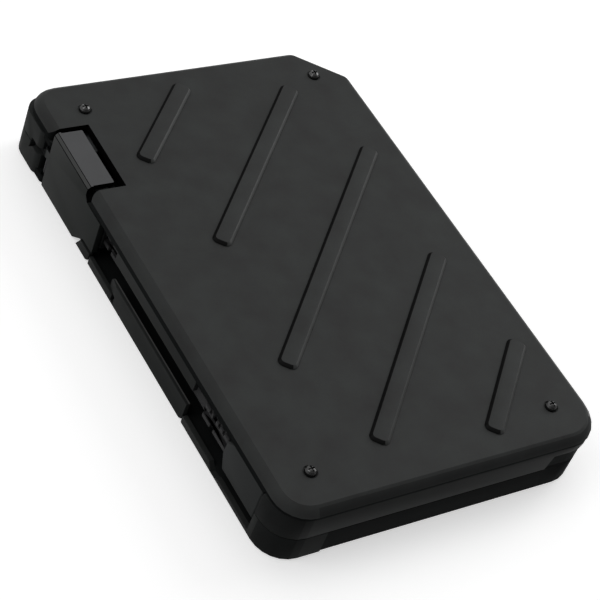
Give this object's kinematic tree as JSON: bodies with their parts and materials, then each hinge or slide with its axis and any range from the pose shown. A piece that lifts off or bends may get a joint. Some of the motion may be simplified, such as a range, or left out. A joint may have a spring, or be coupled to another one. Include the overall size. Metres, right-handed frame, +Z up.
{
  "type": "hard drive case",
  "caption": "Flat rugged enclosure for a small drive: ribbed screwed cover, side channel with a short stowed cable, and a hinged port door.",
  "frame": {"origin": "middle of the footprint, on the face that the case stands on", "axes": "+Z up through the ribbed cover, +Y along the length away from the stowed plug, -X towards the side with the cable channel and the port door"},
  "size_m": [0.085, 0.1296, 0.0179],
  "materials": {
    "cover_plastic": "fine matte texture",
    "body_plastic": "fine matte texture",
    "door_plastic": "smooth satin",
    "plug_plastic": "satin moulded plug",
    "soft_rubber": "matte",
    "black_steel": "black plated",
    "brass": "knurled",
    "steel": "bright",
    "circuit_board": "solder mask",
    "black_moulding": "matte",
    "silicone": "soft silicone",
    "foam": "closed-cell foam"
  },
  "bodies": {
    "case": {"board_screw_1": "steel", "board_screw_2": "steel", "body_frame": "body_plastic", "bottom_shell": "body_plastic", "bridge_board": "circuit_board", "bridge_chip": "black_moulding", "drive_bumper_1": "silicone", "drive_bumper_2": "silicone", "drive_bumper_3": "silicone", "drive_bumper_4": "silicone", "hinge_pin": "black_steel", "lower_foam_pad": "foam", "port_plug_body": "plug_plastic", "port_plug_boot": "soft_rubber", "port_plug_shell": "steel", "sata_connector": "black_moulding", "screw_insert_1": "brass", "screw_insert_2": "brass", "screw_insert_3": "brass", "screw_insert_4": "brass", "stowed_plug_body": "plug_plastic", "stowed_plug_boot": "soft_rubber", "stowed_plug_shell": "steel", "usb_cable": "soft_rubber", "usb_socket": "steel"},
    "cover": {"top_cover": "cover_plastic", "upper_foam_pad": "foam", "cover_screw_1": "black_steel", "cover_screw_2": "black_steel", "cover_screw_3": "black_steel", "cover_screw_4": "black_steel"},
    "door": {"port_door": "door_plastic"}
  },
  "joints": [
    {"name": "cover_lift", "type": "slide", "parent": "case", "child": "cover", "axis": [0, 0, 1], "range_m": [0, 0.03]},
    {"name": "door_hinge", "type": "hinge", "parent": "case", "child": "door", "pos_m": [-0.04095, 0.0506, 0.008], "axis": [0, 0, -1], "range_deg": [0, 90]}
  ]
}
